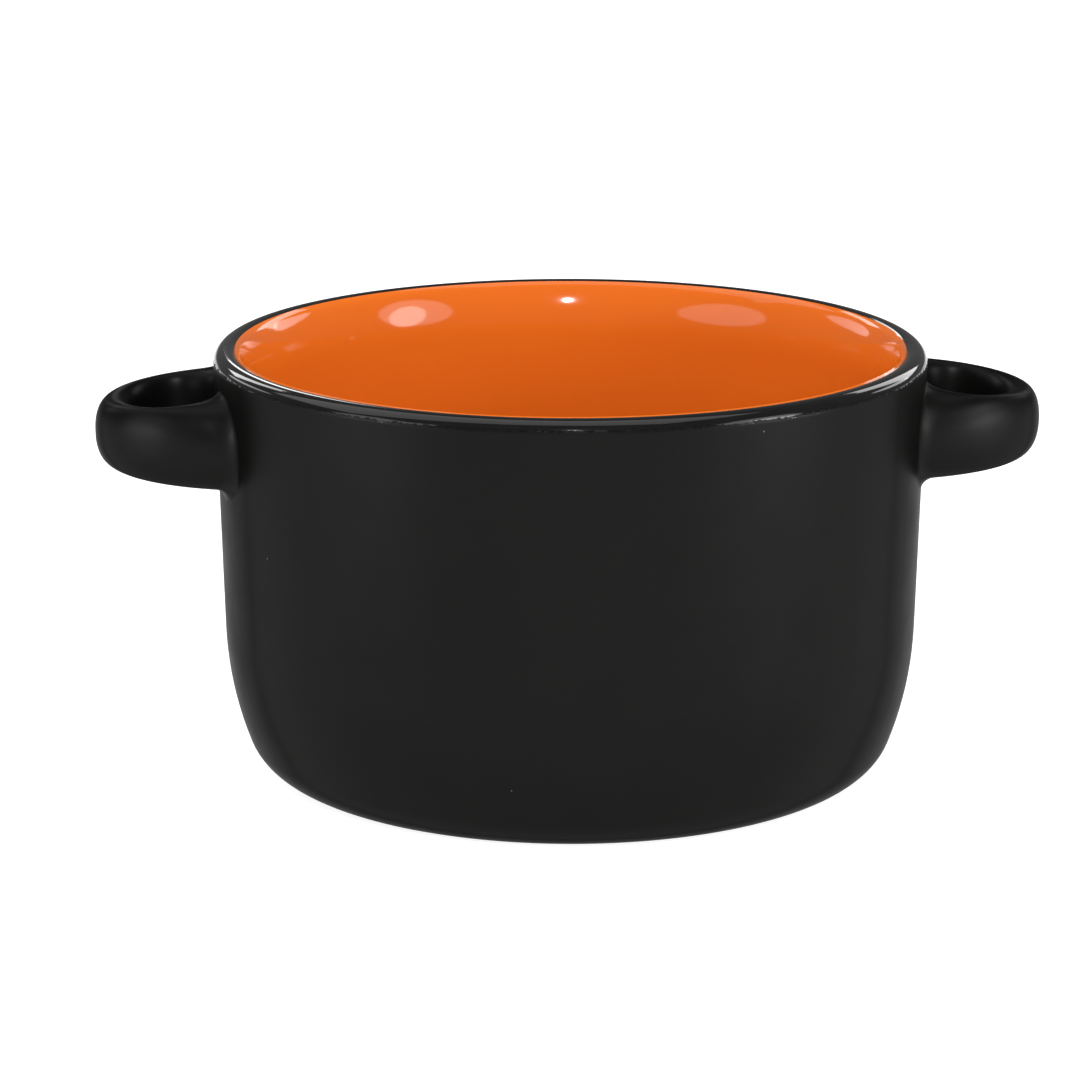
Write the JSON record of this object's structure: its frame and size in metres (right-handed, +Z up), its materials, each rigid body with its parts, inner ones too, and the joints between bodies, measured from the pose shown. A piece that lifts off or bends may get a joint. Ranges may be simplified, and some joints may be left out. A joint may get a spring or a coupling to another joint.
{
  "type": "soup bowl",
  "caption": "Round stoneware soup bowl with upright walls, a loop handle at each side, a matte black outside, a glossy black lip and a glossy orange inside.",
  "frame": {"origin": "centre of the foot ring, on the surface that the bowl stands on", "axes": "+X from the middle of the bowl towards the right handle, +Y away from the viewer, +Z up through the mouth"},
  "size_m": [0.16, 0.12, 0.0726],
  "materials": {
    "bare_stoneware": "unglazed, fired",
    "matte_black_glaze": "matte glaze",
    "gloss_black_glaze": "gloss glaze",
    "gloss_orange_glaze": "gloss glaze"
  },
  "bodies": {
    "root": {"stoneware_body": "bare_stoneware", "outer_glaze": "matte_black_glaze", "rim_glaze": "gloss_black_glaze", "inner_glaze": "gloss_orange_glaze", "right_handle": "matte_black_glaze", "right_handle_front_slip": "matte_black_glaze", "right_handle_back_slip": "matte_black_glaze", "left_handle": "matte_black_glaze", "left_handle_front_slip": "matte_black_glaze", "left_handle_back_slip": "matte_black_glaze"}
  },
  "joints": []
}
